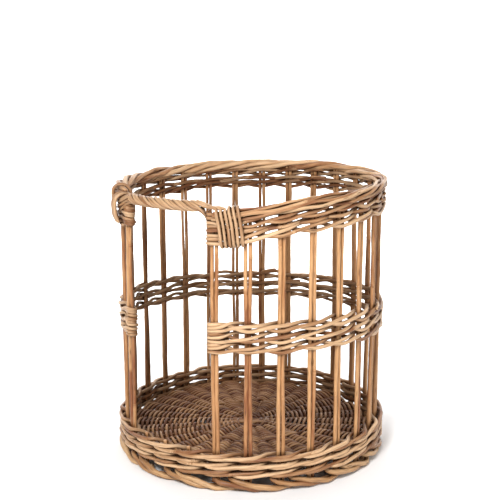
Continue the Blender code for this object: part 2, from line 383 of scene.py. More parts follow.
def vertex_rows(data, label):
    """One vector of every vertex of a mesh, as rows."""
    flat = np.zeros(len(data.vertices) * 3)
    data.vertices.foreach_get(label, flat)
    return flat.reshape(-1, 3)


def paint_crevice_and_inside_shade():
    """Painted shade where rods lie close: how much willow stands just outside a surface.

    The sides that face inwards get painted shade too, fully from a little below the rim.
    """
    places, outward, areas = [], [], []
    for piece in woven_pieces:
        data = piece.data
        places.append(vertex_rows(data, "co"))
        outward.append(vertex_rows(data, "normal"))
        size = np.zeros(len(data.polygons))
        data.polygons.foreach_get("area", size)
        count = len(data.vertices)
        areas.append(np.full(count, size.sum() / count))
    low = np.array(cad_box[0]) - CREVICE_MARGIN
    high = np.array(cad_box[1]) + CREVICE_MARGIN
    shape = np.ceil((high - low) / CREVICE_CELL).astype(int)
    cells = ((np.concatenate(places) - low) / CREVICE_CELL).astype(int)
    flat = np.ravel_multi_index(cells.T, shape)
    grid = np.bincount(flat, np.concatenate(areas), int(np.prod(shape))).reshape(shape)
    grid = blurred((grid / CREVICE_CELL**2).astype(np.float32), 2)
    for piece, place, out in zip(woven_pieces, places, outward):
        near = ((place + out * CREVICE_REACH - low) / CREVICE_CELL).astype(int)
        close = np.clip(grid[tuple(near.T)] / CREVICE_FULL, 0.0, 1.0) ** CREVICE_CURVE
        reach = np.maximum(np.hypot(place[:, 0], place[:, 1]), 0.001)
        facing = -(out[:, 0] * place[:, 0] + out[:, 1] * place[:, 1]) / reach
        depth = np.clip((cad_box[1][2] - INSIDE_START - place[:, 2]) / INSIDE_FADE, 0.0, 1.0)
        inside = INSIDE_SHADE * depth * np.clip(facing + INSIDE_TURN, 0.0, 1.0)
        layer = piece.data.attributes["shade"]
        own = np.zeros(len(place), np.float32)
        layer.data.foreach_get("value", own)
        # Each rod's own painted shade, the crevice shade and the inside shade, together
        both = 1 - (1 - OWN_SHARE * own) * (1 - close) * (1 - inside)
        layer.data.foreach_set("value", both.astype(np.float32))


# ---- Materials ----------------------------------------------------------------------


# The dark of the bud scars, and of the painted shade
SCAR_AND_SHADE_DARK = (0.050, 0.015, 0.005)

# How much a rod's own tone, patches and slow changes say about its colour
MOOD_START = -0.47
TONE_SHARE = 0.68
PATCH_SHARE = 0.95
SLOW_SHARE = 0.35
TONE_SEED = 37.0

# Each ramp lists where a colour stands and the colour
FIBRE_LINES = [(0.30, (0.50, 0.38, 0.30)), (0.50, (0.96, 0.94, 0.92)), (0.75, (1.16, 1.13, 1.08))]
FIBRE_STRENGTH = 0.85
SCAR_EDGE = [(0.10, (1.0, 1.0, 1.0)), (0.24, (0.0, 0.0, 0.0))]
SCAR_RARITY = 0.54
SCAR_DEPTH = 0.8
# How strongly the shade attribute paints shade: its curve and strength
PAINTED_SHADE_CURVE = 0.8
PAINTED_SHADE_STRENGTH = 0.88


def math_node(tree, operation, first, second=None, third=None):
    """The result of one operation on values, each a socket or a number."""
    node = tree.nodes.new("ShaderNodeMath")
    node.operation = operation
    for entry, value in zip(node.inputs, (first, second, third)):
        if isinstance(value, (int, float)):
            entry.default_value = value
        elif value is not None:
            tree.links.new(value, entry)
    return node.outputs[0]


def ramp_node(tree, source, stops):
    """The colour that a value has among the stops."""
    node = tree.nodes.new("ShaderNodeValToRGB")
    ramp = node.color_ramp
    while len(ramp.elements) < len(stops):
        ramp.elements.new(0.5)
    for element, (at, colour) in zip(ramp.elements, stops):
        element.position = at
        element.color = (*colour, 1.0)
    tree.links.new(source, node.inputs[0])
    return node.outputs[0]


def mix_colour(tree, factor, first, second, blend="MIX"):
    """Two colours mixed. The node's colours are its inputs 6 and 7 and its output 2."""
    node = tree.nodes.new("ShaderNodeMix")
    node.data_type = "RGBA"
    node.blend_type = blend
    for entry, value in ((0, factor), (6, first), (7, second)):
        if isinstance(value, (int, float)):
            node.inputs[entry].default_value = value
        elif isinstance(value, tuple):
            node.inputs[entry].default_value = (*value, 1.0)
        else:
            tree.links.new(value, node.inputs[entry])
    return node.outputs[2]


def willow(name, pale, honey, russet):
    """Buffed willow: streaks along the rod, slow colour changes, bud scars, and painted shade in
    crevices and hidden places.
    """
    material = bpy.data.materials.new(name)
    material.use_nodes = True
    tree = material.node_tree
    shader = tree.nodes["Principled BSDF"]
    uv = tree.nodes.new("ShaderNodeUVMap")
    uv.uv_map = "UVMap"
    parts = tree.nodes.new("ShaderNodeSeparateXYZ")
    tree.links.new(uv.outputs[0], parts.inputs[0])
    along = parts.outputs[0]
    turn = math_node(tree, "MULTIPLY", parts.outputs[1], FULL_TURN)
    tone = tree.nodes.new("ShaderNodeAttribute")
    tone.attribute_name = "tone"
    shade = tree.nodes.new("ShaderNodeAttribute")
    shade.attribute_name = "shade"
    own = math_node(tree, "MULTIPLY", tone.outputs["Fac"], TONE_SEED)

    def round_rod(girth, length):
        """Places on the rod's surface, with girth and length in pattern steps."""
        node = tree.nodes.new("ShaderNodeCombineXYZ")
        side = math_node(tree, "MULTIPLY_ADD", math_node(tree, "COSINE", turn), girth, own)
        up = math_node(tree, "MULTIPLY", math_node(tree, "SINE", turn), girth)
        tree.links.new(side, node.inputs[0])
        tree.links.new(up, node.inputs[1])
        tree.links.new(math_node(tree, "MULTIPLY_ADD", along, length, own), node.inputs[2])
        return node.outputs[0]

    def noise(where, detail, rough=0.55):
        """Cloudy values at places that are already in pattern steps."""
        node = tree.nodes.new("ShaderNodeTexNoise")
        node.inputs["Scale"].default_value = 1.0
        node.inputs["Detail"].default_value = detail
        node.inputs["Roughness"].default_value = rough
        tree.links.new(where, node.inputs["Vector"])
        return node.outputs["Fac"]

    fibre = noise(round_rod(3.2, 45.0), 4.0, 0.6)
    patches = noise(round_rod(0.5, 30.0), 2.0)
    slow = noise(round_rod(0.2, 7.0), 1.0)

    mood = math_node(tree, "MULTIPLY_ADD", tone.outputs["Fac"], TONE_SHARE, MOOD_START)
    mood = math_node(tree, "MULTIPLY_ADD", patches, PATCH_SHARE, mood)
    mood = math_node(tree, "MULTIPLY_ADD", slow, SLOW_SHARE, mood)
    colour = ramp_node(tree, mood, [(0.12, russet), (0.40, honey), (0.70, pale)])
    lines = ramp_node(tree, fibre, FIBRE_LINES)
    colour = mix_colour(tree, FIBRE_STRENGTH, colour, lines, "MULTIPLY")

    spots = tree.nodes.new("ShaderNodeTexVoronoi")
    spots.inputs["Scale"].default_value = 1.0
    tree.links.new(round_rod(0.9, 42.0), spots.inputs["Vector"])
    scar = ramp_node(tree, spots.outputs["Distance"], SCAR_EDGE)
    few = math_node(tree, "GREATER_THAN", noise(round_rod(0.0, 9.0), 0.0), SCAR_RARITY)
    scar = math_node(tree, "MULTIPLY", scar, few)
    scar = math_node(tree, "MULTIPLY", scar, SCAR_DEPTH)
    colour = mix_colour(tree, scar, colour, SCAR_AND_SHADE_DARK)
    # Painted shade: the colour mixed towards the dark by the shade attribute
    painted_shade = math_node(tree, "POWER", shade.outputs["Fac"], PAINTED_SHADE_CURVE)
    painted_shade = math_node(tree, "MULTIPLY", painted_shade, PAINTED_SHADE_STRENGTH)
    colour = mix_colour(tree, painted_shade, colour, SCAR_AND_SHADE_DARK)
    tree.links.new(colour, shader.inputs["Base Color"])

    # Where shade is painted, the rod is also rougher and has less specular
    gloss = math_node(tree, "MULTIPLY_ADD", fibre, 0.25, 0.30)
    gloss = math_node(tree, "MULTIPLY_ADD", shade.outputs["Fac"], 0.25, gloss)
    tree.links.new(gloss, shader.inputs["Roughness"])
    sheen = math_node(tree, "MULTIPLY_ADD", shade.outputs["Fac"], -0.34, 0.36)
    tree.links.new(sheen, shader.inputs["Specular IOR Level"])
    height = math_node(tree, "SUBTRACT", fibre, scar)
    bump = tree.nodes.new("ShaderNodeBump")
    bump.inputs["Strength"].default_value = 0.35
    bump.inputs["Distance"].default_value = 0.0006
    tree.links.new(height, bump.inputs["Height"])
    tree.links.new(bump.outputs[0], shader.inputs["Normal"])
    return material


weave_willow = willow(
    "weave_willow", (0.72, 0.475, 0.275), (0.43, 0.23, 0.107), (0.25, 0.10, 0.040)
)
stake_willow = willow(
    "stake_willow", (0.62, 0.345, 0.16), (0.49, 0.24, 0.10), (0.27, 0.095, 0.036)
)
border_willow = willow(
    "border_willow", (0.78, 0.515, 0.295), (0.56, 0.31, 0.15), (0.31, 0.125, 0.052)
)
foot_willow = willow(
    "foot_willow", (0.62, 0.39, 0.20), (0.42, 0.22, 0.095), (0.24, 0.095, 0.038)
)
# Darker by about half than the other willow: painted shade for the floor, down inside the basket
floor_willow_painted_shade = willow(
    "floor_willow_painted_shade", (0.44, 0.245, 0.12), (0.24, 0.11, 0.050), (0.11, 0.040, 0.018)
)
rope_willow = willow(
    "rope_willow", (0.56, 0.355, 0.20), (0.36, 0.19, 0.090), (0.21, 0.080, 0.034)
)


# ---- Waling -------------------------------------------------------------------------

# One weaver's course over three stakes: before two, behind the third, then down and out.
WALING_RISE = [-0.50, -0.10, 0.40, 0.85, 0.78, 0.10]
TIGHT_RISE = [-0.45, -0.10, 0.30, 0.62, 0.35, -0.15]
PAIRING_RISE = [0.0, 0.25, 0.35, -0.15]

# The closed rings of the bottom band, whose seam is this far round from the front post
BOTTOM_ROUNDS = 3
RING_SEAM = 0.55
SEAM_POINTS = 12

# Where a new weaver is laid beside the old one
JOIN_SPACING = 0.5
JOIN_POINTS = 6
JOIN_RADIUS = WEAVER_RADIUS * 0.9
POINTS_WITHOUT_JOIN = 30

# How a weaver turns back round a post
POST_GAP = 0.0002
POST_TURN_INSET = 0.0020
TUCK_POINTS = 5
TURN_STEPS = 9
POST_APPROACH = 0.55
TURN_DROP = 0.0010
TURN_LOOSENESS = 0.4

# Weavers in each round, and the lowest and highest row beside the posts
MIDDLE_ROUNDS = (3, 3, 3)
MIDDLE_ROW_INSETS = (0.0035, 0.0028)
TOP_ROUNDS = (3, 2, 3)
TOP_ROWS_FRONT = (-0.0240, 0.0105)
TOP_ROWS_LEFT = (-0.0275, -0.0030)


def waling_course(position, lane):
    """How far out (-1 inside to 1 outside) a weaver of three runs at a stake number.

    The second value is how many stakes on it is in its own course.
    """
    at = (position + lane) % 3.0
    from_behind = abs((at - 2.0 + 1.5) % 3.0 - 1.5)
    return -1.0 + 2.0 * smooth_step(from_behind / 0.85), at


def pairing_course(position, lane):
    """The same for a weaver of two, which goes before one stake and behind the next."""
    at = (position + lane) % 2.0
    return math.cos(math.pi * at), at


def middle_lift(angle):
    """How much higher the tilted middle band lies at an angle."""
    return STAKE_CIRCLE * math.cos(angle) * MIDDLE_SLOPE


def add_joins(rods, course_points):
    """Butt ends of new weavers, laid beside the old ones and standing a little proud."""
    for at in marks_along(len(course_points) * FINE_STEP, JOIN_SPACING):
        stretch = course_points[int(at / FINE_STEP) :][:JOIN_POINTS]
        if len(stretch) < JOIN_POINTS:
            continue
        out = Vector((stretch[0].x, stretch[0].y, 0.0)).normalized()
        points = []
        for index, point in enumerate(stretch):
            proud = WEAVER_RADIUS * (1.5 - 0.35 * index)
            points.append(point + out * proud + Vector((0.0, 0.0, JOIN_RADIUS)))
        # A little painted shade on the joins
        rods.append((points, [JOIN_RADIUS] * len(points), [0.1] * len(points)))


def weave_ring(name, level, step):
    """Three weavers of one tight round, closed all the way round the ring."""
    rods = []
    reach = BOTTOM_OUTER - BOTTOM_WEAVER_RADIUS - STAKE_CIRCLE
    inward = STAKE_RADIUS + BOTTOM_WEAVER_RADIUS
    count = int(FULL_TURN * STAKE_CIRCLE / FINE_STEP)
    for lane in range(3):
        wobble, drift = Waver(0.0005), Waver(0.0006)
        points, shade = [], []
        for index in range(count):
            position = RING_STAKES * (index / count + RING_SEAM)
            out, at = waling_course(position, lane)
            seam = smooth_step(min(index, count - index) / SEAM_POINTS)
            length = index * FINE_STEP
            offset = out * (reach if out > 0 else inward)
            height = level + step * curve_through(TIGHT_RISE, at * 2, closed=True)
            radial = STAKE_CIRCLE + offset + seam * wobble.at(length)
            points.append(on_circle(angle_at(position), radial, height + seam * drift.at(length)))
            # Painted shade: darker where the weaver passes inside, behind a stake
            shade.append(0.5 - 0.5 * out)
        radius = BOTTOM_WEAVER_RADIUS * luck.uniform(0.94, 1.05)
        rods.append((points, rod_radii(points, radius), shade))
    rods_piece(name, rods, weave_willow, ["bottom_wale"], closed=True)


def add_bottom_wale():
    step = (bottom_high[2] - bottom_low[2]) / (2 * BOTTOM_ROUNDS)
    for row in range(BOTTOM_ROUNDS):
        level = bottom_low[2] + step * (2 * row + 1)
        weave_ring(f"bottom_wale_round_{row + 1}", level, step)


def open_weaver(course, rise, lane, level, step, ends, lift):
    """One weaver of a band that stops at the two posts and turns back round each of them.

    ends holds its height at the front post and at the left post.
    """
    wobble, drift = Waver(0.0007), Waver(0.0011)
    away = STAKE_RADIUS + WEAVER_RADIUS + POST_GAP
    turn_middle = 2 * STAKE_RADIUS - POST_TURN_INSET
    tuck = luck.uniform(0.010, 0.018)
    last = TALL_STAKES - 1
    marks = []
    for index in range(TUCK_POINTS):
        marks.append((tuck + (-turn_middle - tuck) * index / TUCK_POINTS, -1.0))
    for index in range(TURN_STEPS + 1):
        around = -math.pi / 2 + math.pi * index / TURN_STEPS
        marks.append((-turn_middle - away * math.cos(around), math.sin(around)))
    count = int((LEFT_POST - FRONT_POST) * STAKE_CIRCLE / FINE_STEP)
    points, shade = [], []

    def put(position, aside, out, height, loose):
        angle = angle_at(position) + aside / STAKE_CIRCLE
        length = len(points) * FINE_STEP
        place = on_circle(angle, STAKE_CIRCLE + out * away + wobble.at(length), 0.0)
        place.z = height + loose * drift.at(length) + lift(angle)
        points.append(place)
        # Painted shade: darker where the weaver passes inside, behind a stake
        shade.append(0.5 - 0.5 * out)

    for aside, out in marks:
        put(0, aside, out, ends[0] - TURN_DROP * (1 - out), TURN_LOOSENESS)
    period = 3.0 if course is waling_course else 2.0
    for index in range(1, count):
        position = index / count * last
        out, at = course(position, lane)
        height = level + step * curve_through(rise, at * len(rise) / period, closed=True)
        near = smooth_step(1.0 - position / POST_APPROACH)
        far = smooth_step(1.0 - (last - position) / POST_APPROACH)
        out += (1.0 - out) * max(near, far)
        height += (ends[0] - height) * near + (ends[1] - height) * far
        put(position, 0.0, out, height, 1.0)
    for aside, out in marks[::-1]:
        put(last, -aside, out, ends[1] - TURN_DROP * (1 - out), TURN_LOOSENESS)
    return points, rod_radii(points, WEAVER_RADIUS * luck.uniform(0.88, 1.10)), shade


def add_open_band(name, node, base, height, rounds, lift, end_rows):
    """A band of loose waling between the posts. rounds lists how many weavers each has.

    end_rows holds the lowest and highest row at the front post and at the left post.
    """
    step = height / sum(weavers - 1 for weavers in rounds)
    total = sum(rounds)
    done, below = 0, 0
    for number, weavers in enumerate(rounds):
        course = waling_course if weavers == 3 else pairing_course
        rise = WALING_RISE if weavers == 3 else PAIRING_RISE
        level = base + step * (below + (weavers - 1) / 2)
        rods, joins = [], []
        for lane in range(weavers):
            share = (done + lane) / (total - 1)
            ends = [low + (high - low) * share for low, high in end_rows]
            rod = open_weaver(course, rise, lane, level, step, ends, lift)
            rods.append(rod)
            add_joins(joins, rod[0][POINTS_WITHOUT_JOIN:-POINTS_WITHOUT_JOIN])
        rods_piece(
            f"{name}_round_{number + 1}", rods + joins, weave_willow, [node],
            rounded=True,
        )
        done += weavers
        below += weavers - 1


def add_middle_band():
    base = MIDDLE_LEVEL - MIDDLE_BAND_HEIGHT / 2
    low_inset, high_inset = MIDDLE_ROW_INSETS
    rows = (base + low_inset, base + MIDDLE_BAND_HEIGHT - high_inset)
    add_open_band(
        "middle_band", "middle_wale", base, MIDDLE_BAND_HEIGHT, MIDDLE_ROUNDS, middle_lift,
        (rows, rows),
    )


def add_top_band():
    """The band under the rim, whose heights are counted from the border's underside."""
    add_open_band(
        "top_band", "top_wale", -TOP_BAND_HEIGHT - 0.001, TOP_BAND_HEIGHT + 0.003, TOP_ROUNDS,
        border_base, (TOP_ROWS_FRONT, TOP_ROWS_LEFT),
    )


# ---- Stakes -------------------------------------------------------------------------

STAKE_GIRTH = 1.07
STAKE_TAPER = 0.04
STAKE_BEND = 0.0005
STAKE_BEND_LENGTH = 0.4
STAKE_HELD_LENGTH = 0.05


def add_upright(name, node, radius):
    """One upright rod in place of its plain solid, a little bowed and knotted."""
    low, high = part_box(node)
    middle = middle_of(node)
    waver_x = Waver(STAKE_BEND, STAKE_BEND_LENGTH)
    waver_y = Waver(STAKE_BEND * 0.6, STAKE_BEND_LENGTH)
    count = max(int((high[2] - low[2]) / FINE_STEP), 6)
    points = []
    for index in range(count + 1):
        height = low[2] + (high[2] - low[2]) * index / count
        from_end = min(height - low[2], high[2] - height, STAKE_HELD_LENGTH)
        free = from_end / STAKE_HELD_LENGTH
        sway = Vector((waver_x.at(height), waver_y.at(height), 0.0)) * free
        points.append(Vector((middle.x, middle.y, height)) + sway)
    rods = [(points, rod_radii(points, radius, STAKE_TAPER), [0.0] * len(points))]
    rods_piece(name, rods, stake_willow, [node])


def add_stakes():
    for index in range(TALL_STAKES):
        number = f"{index + 1:02d}"
        radius = POST_RADIUS if index == TALL_STAKES - 1 else STAKE_RADIUS * STAKE_GIRTH
        add_upright("willow_stake_" + number, "stake_" + number, radius)
        liner = STAKE_RADIUS * luck.uniform(0.96, 1.07)
        add_upright("willow_liner_" + number, "liner_" + number, liner)
    for index in range(SHORT_STAKES):
        number = str(index + 1)
        add_upright("willow_short_" + number, "short_stake_" + number, STAKE_RADIUS)


# ---- Rim border ---------------------------------------------------------------------

BORDER_RODS = 7
CORE_RODS = 2

# The length of one roll at the front post, and once the rods have changed
BORDER_PITCH = (0.360, 0.170)
CORE_PITCH = 0.2

# Four rods last to the left post and grow. The others fade out between them.
LASTING_RODS = 4
CHANGE_START = 0.15
CHANGE_LENGTH = 0.45
START_GIRTH = 0.90
LASTING_GROWTH = 0.50
FADING_GROWTH = -0.45
END_GATHER = 0.70
END_GATHER_LENGTH = 0.03


def border_rod(rod):
    """One rod rolled round the middle of the border."""
    wobble, drift, sway = Waver(0.0009), Waver(0.0008), Waver(0.22, 0.20)
    lasting = rod % 2 == 0
    phase = FULL_TURN * rod / BORDER_RODS + luck.uniform(-0.15, 0.15)
    settled = FULL_TURN * (rod / (2 * LASTING_RODS) - rod / BORDER_RODS)
    start = FRONT_POST + luck.uniform(-0.012, 0.020)
    end = LEFT_POST - luck.uniform(0.06, 0.09)
    length = (end - start) * BORDER_MIDDLE
    count = int(length / FINE_STEP)
    points, growth, shade = [], [], []
    turned = 0.0
    for index in range(count + 1):
        along = length * index / count
        angle = start + (end - start) * index / count
        share = smooth_step((index / count - CHANGE_START) / CHANGE_LENGTH)
        growth.append(START_GIRTH + (LASTING_GROWTH if lasting else FADING_GROWTH) * share)
        wide = BORDER_WIDTH / 2 - BORDER_ROD_RADIUS * (0.9 + 0.4 * share)
        tall = BORDER_HEIGHT / 2 - BORDER_ROD_RADIUS * (0.9 + 0.4 * share)
        if not lasting:
            wide *= 1 - 0.5 * share
            tall *= 1 - 0.5 * share
        pitch = BORDER_PITCH[0] + (BORDER_PITCH[1] - BORDER_PITCH[0]) * share
        turned += FULL_TURN * length / count / pitch
        around = turned + phase + settled * share + sway.at(along)
        from_end = smooth_step(min(along, length - along) / END_GATHER_LENGTH)
        gather = END_GATHER + (1 - END_GATHER) * from_end
        reach = BORDER_MIDDLE + wide * gather * math.cos(around) + wobble.at(along)
        height = border_base(angle) + BORDER_HEIGHT / 2 + gather * tall * math.sin(around)
        points.append(on_circle(angle, reach, height + drift.at(along)))
        # Painted shade: darker on the underside of each roll
        shade.append(0.35 * (0.5 - 0.5 * math.sin(around)))
    thick = rod_radii(points, BORDER_ROD_RADIUS * luck.uniform(0.92, 1.08))
    return points, [r * grown for r, grown in zip(thick, growth)], shade


def core_rod(rod):
    """One of the hidden rods that the others are rolled round."""
    points = []
    count = int((LEFT_POST - FRONT_POST) * BORDER_MIDDLE / FINE_STEP)
    wobble, drift = Waver(0.0012), Waver(0.0012)
    for index in range(count + 1):
        angle = FRONT_POST + 0.02 + (LEFT_POST - FRONT_POST - 0.06) * index / count
        side = FULL_TURN * (index * FINE_STEP / CORE_PITCH) + math.pi * rod
        reach = BORDER_MIDDLE + 0.0028 * math.cos(side) + wobble.at(index * FINE_STEP)
        height = border_base(angle) + BORDER_HEIGHT / 2 + 0.0020 * math.sin(side)
        points.append(on_circle(angle, reach, height + drift.at(index * FINE_STEP)))
    # Painted shade on the core rods, hidden inside the roll
    return points, rod_radii(points, BORDER_ROD_RADIUS), [0.6] * len(points)


def add_border():
    rods = [border_rod(rod) for rod in range(BORDER_RODS)]
    rods += [core_rod(rod) for rod in range(CORE_RODS)]
    rods_piece("rim_border_rods", rods, border_willow, ["top_border"], rounded=True)


# ---- Foot border --------------------------------------------------------------------

FOOT_PAIRS = 15
FOOT_FIRST = math.radians(-13.5)
FOOT_STEPS = 56
FOOT_MARK_LENGTH = 0.012


def add_foot():
    """Pairs of thick rods turned down in steps, each running under the pair after it.

    A mark of their courses is (degrees from where the pair begins, distance out, height).
    """
    outer = FOOT_OUTER - FOOT_ROD_RADIUS
    low = FOOT_ROD_RADIUS
    lead = [
        (-1.2, outer - 0.0075, 0.0175), (-0.9, outer - 0.0050, 0.0150), (1.0, outer - 0.0018, 0.0130),
        (5.0, outer - 0.0002, 0.0104), (9.0, outer, 0.0074), (13.0, outer - 0.0008, 0.0048),
        (17.0, outer - 0.0030, low), (22.0, outer - 0.0075, low), (28.0, outer - 0.0110, low),
    ]
    follow = [
        (5.4, outer - 0.0080, 0.0185), (5.8, outer - 0.0058, 0.0158), (7.8, outer - 0.0024, 0.0142),
        (12.0, outer - 0.0006, 0.0122), (16.0, outer, 0.0092), (20.0, outer - 0.0004, 0.0062),
        (24.0, outer - 0.0020, 0.0040), (28.5, outer - 0.0070, low), (34.0, outer - 0.0115, low),
    ]
    rods = []
    for pair in range(FOOT_PAIRS):
        for course in (lead, follow):
            wobble, drift = Waver(0.0007, 0.08), Waver(0.0008, 0.08)
            stretch = luck.uniform(0.94, 1.06)
            begin = FOOT_FIRST + FULL_TURN * pair / FOOT_PAIRS + luck.uniform(-0.02, 0.02)
            points = []
            for index in range(FOOT_STEPS + 1):
                at = (len(course) - 1) * index / FOOT_STEPS
                degrees, reach, height = (
                    curve_through([mark[k] for mark in course], at) for k in range(3)
                )
                free = smooth_step((at - 1.0) / 1.5)
                height += free * drift.at(at * FOOT_MARK_LENGTH)
                reach = min(reach + free * wobble.at(at * FOOT_MARK_LENGTH), outer)
                angle = begin + math.radians(degrees * stretch)
                points.append(on_circle(angle, reach, max(height, FOOT_ROD_RADIUS)))
            radius = FOOT_ROD_RADIUS * luck.uniform(0.88, 1.0)
            rods.append((points, rod_radii(points, radius, taper=0.10), [0.0] * len(points)))
    rods_piece("foot_border_rods", rods, foot_willow, ["foot_border"], rounded=True)


# ---- Floor --------------------------------------------------------------------------

FLOOR_STICKS = 16
CROSS_STICK_SPACING = 0.0052

# How far out the weave begins, goes between single sticks, and between twice as many
FLOOR_HUB = 0.0140
FLOOR_CROSS = 0.022
FLOOR_SINGLE = FLOOR_CROSS + 0.002
FLOOR_SPLIT = 0.078
FLOOR_NEW_WEAVERS = 0.125

# The spiral of the weave
FLOOR_PITCH = 0.0064
FLOOR_SWING = 0.30
FLOOR_STEP = FINE_STEP * 0.9
FLOOR_START = 40


def add_floor_sticks(edge, level):
    """Four sticks across four, fanned out beyond the middle, with more let in half way."""
    rods = []
    quarter = FLOOR_STICKS // 4
    for group in range(2):
        for stick in range(quarter):
            aside = stick - (quarter - 1) / 2
            swing = aside * FULL_TURN / FLOOR_STICKS
            marks = []
            for reach in (-edge, -edge / 2, -FLOOR_CROSS, 0.0, FLOOR_CROSS, edge / 2, edge):
                fan = smooth_step((abs(reach) - FLOOR_CROSS) / (edge * 0.3))
                onward = reach * (1 + (math.cos(swing) - 1) * fan)
                side = abs(reach) * math.sin(swing) * fan + aside * CROSS_STICK_SPACING * (1 - fan)
                lie = (0.5 - group) * 2 * FLOOR_STICK_RADIUS * (1 - fan)
                place = (side, onward) if group else (onward, side)
                marks.append(Vector((*place, level + lie)))
            points = smooth_path(marks)
            # Painted shade on the sticks, which lie under the weavers
            rods.append((points, rod_radii(points, FLOOR_STICK_RADIUS), [0.2] * len(points)))
    for stick in range(FLOOR_STICKS):
        angle = stick * FULL_TURN / FLOOR_STICKS
        marks = [
            on_circle(angle + 0.10, FLOOR_SPLIT - 0.012, level),
            on_circle(angle, (FLOOR_SPLIT + edge) / 2, level),
            on_circle(angle, edge, level),
        ]
        points = smooth_path(marks)
        # Painted shade on the sticks, which lie under the weavers
        rods.append((points, rod_radii(points, FLOOR_STICK_RADIUS * 0.9), [0.2] * len(points)))
    rods_piece(
        "floor_sticks", rods, floor_willow_painted_shade, ["base_sticks"], sides=FLOOR_SIDES
    )


def add_floor_weave(edge, level):
    """Two weavers twisted round each other between the sticks, spiralling outwards.

    Each part is (where it begins, where it ends, how many sticks or groups it goes between).
    """
    lift = FLOOR_STICK_RADIUS + FLOOR_WEAVER_RADIUS * 0.7
    parts = (
        (FLOOR_HUB, FLOOR_SINGLE, 4),
        (FLOOR_SINGLE, FLOOR_SPLIT, FLOOR_STICKS),
        (FLOOR_SPLIT, FLOOR_NEW_WEAVERS, 2 * FLOOR_STICKS),
        (FLOOR_NEW_WEAVERS, edge, 2 * FLOOR_STICKS),
    )
    for number, (first, last, sticks) in enumerate(parts):
        rods = []
        wobble = Waver(0.0003, 0.5)
        for strand in range(2):
            points, shade = [], []
            reach = first
            angle = first * FLOOR_START
            run = 0.0
            while reach < last:
                phase = sticks * angle / 2 + math.pi * strand
                up, aside = math.cos(phase), math.sin(phase)
                place = reach + FLOOR_SWING * FLOOR_PITCH * aside + wobble.at(run)
                points.append(on_circle(angle, min(place, edge), level + lift * up))
                # Painted shade: darker where a strand dips under a stick
                shade.append(1.4 * (0.5 - 0.5 * up))
                turn = FLOOR_STEP / reach
                run += FLOOR_STEP
                angle += turn
                reach += FLOOR_PITCH * turn / FULL_TURN
            rods.append((points, rod_radii(points, FLOOR_WEAVER_RADIUS), shade))
        rods_piece(
            f"floor_weave_{number + 1}", rods, floor_willow_painted_shade, ["base_weave"],
            sides=FLOOR_SIDES,
        )


def add_floor():
    low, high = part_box("base_weave")
    edge = high[0] - FLOOR_WEAVER_RADIUS
    level = (low[2] + high[2]) / 2 - 0.0005
    add_floor_sticks(edge, level)
    add_floor_weave(edge, level)


# ---- Front rope ---------------------------------------------------------------------

ROPE_RODS = 8
ROPE_PITCH = 0.060
ROPE_RADIUS = 0.0052
ROPE_INSET = 0.0065
ROPE_SAG = 0.0012

# The rope's height beside each post, from the middle of the border
ROPE_DROP_LEFT = 0.0025
ROPE_RISE = 0.0125

# Where the twist begins and ends, 0 at the left post to 1 at the front post
TWIST_START = 0.075
TWIST_END = 0.875
TWIST_MARKS = 28
PAIR_SPREAD = 0.44

# Windings: marks in a turn, gap between rods, slant down the front, and where they begin
WINDING_STEPS = 14
WOUND_RODS = 3
WOUND_TURNS = 1.62
WOUND_GAP = 0.0048
WOUND_SLANT = 0.0062
WOUND_START = 0.10
TIE_SLANT = 0.0020
TIE_START = 0.55
TIE_RADIUS = ROPE_ROD_RADIUS * 1.20


def beside(post, side, along, outward, up):
    """A place by a post: along the band away from the opening, outward and up from its border."""
    angle = post + side * along / STAKE_CIRCLE
    return on_circle(angle, BORDER_MIDDLE + outward, border_base(angle) + up)


def rope_centre(across):
    """The middle of the rope, 0 at the left post to 1 at the front post."""
    left = LEFT_POST - FULL_TURN
    slack = math.sin(math.pi * min(max(across, 0.0), 1.0))
    left_height = border_base(left) + BORDER_HEIGHT / 2 - ROPE_DROP_LEFT
    right_height = border_base(FRONT_POST) + BORDER_HEIGHT / 2 + ROPE_RISE
    return on_circle(
        left + (FRONT_POST - left) * across,
        BORDER_MIDDLE - ROPE_INSET * slack,
        left_height + (right_height - left_height) * across - ROPE_SAG * slack,
    )


def twisted_strand(rod):
    """The marks of one of the rope's rods; the rods lie in pairs and wind round its middle."""
    wobble = Waver(0.0003, 0.05)
    pair, side = divmod(rod, 2)
    phase = FULL_TURN * (pair + PAIR_SPREAD * side) / (ROPE_RODS // 2) + 0.5
    marks = []
    length = 0.0
    for index in range(TWIST_MARKS + 1):
        across = TWIST_START + (TWIST_END - TWIST_START) * index / TWIST_MARKS
        middle = rope_centre(across)
        ahead = (rope_centre(across + 0.01) - rope_centre(across - 0.01)).normalized()
        out = Vector((middle.x, middle.y, 0.0)).normalized()
        up = ahead.cross(out).normalized()
        up = up if up.z > 0 else -up
        around = phase - FULL_TURN * length / ROPE_PITCH
        reach = ROPE_RADIUS + wobble.at(length)
        marks.append(middle + out * reach * math.cos(around) + up * reach * math.sin(around))
        onward = across + (TWIST_END - TWIST_START) / TWIST_MARKS
        length += (rope_centre(onward) - middle).length
    return marks


# The way round the rim band, outward and up from the border's middle and underside: over the
# whole band and border, and for the left ties over the band alone
BAND_OUTLINE = [
    (-0.0030, 0.0176), (0.0070, 0.0168), (0.0112, 0.0100), (0.0098, -0.0040), (0.0078, -0.0230),
    (0.0020, -0.0290), (-0.0085, -0.0275), (-0.0108, -0.0140), (-0.0112, 0.0080),
]
LOW_OUTLINE = [
    (-0.0040, 0.0080), (0.0070, 0.0082), (0.0136, 0.0024), (0.0146, -0.0090), (0.0120, -0.0235),
    (0.0040, -0.0310), (-0.0070, -0.0290), (-0.0100, -0.0150), (-0.0100, 0.0000),
]


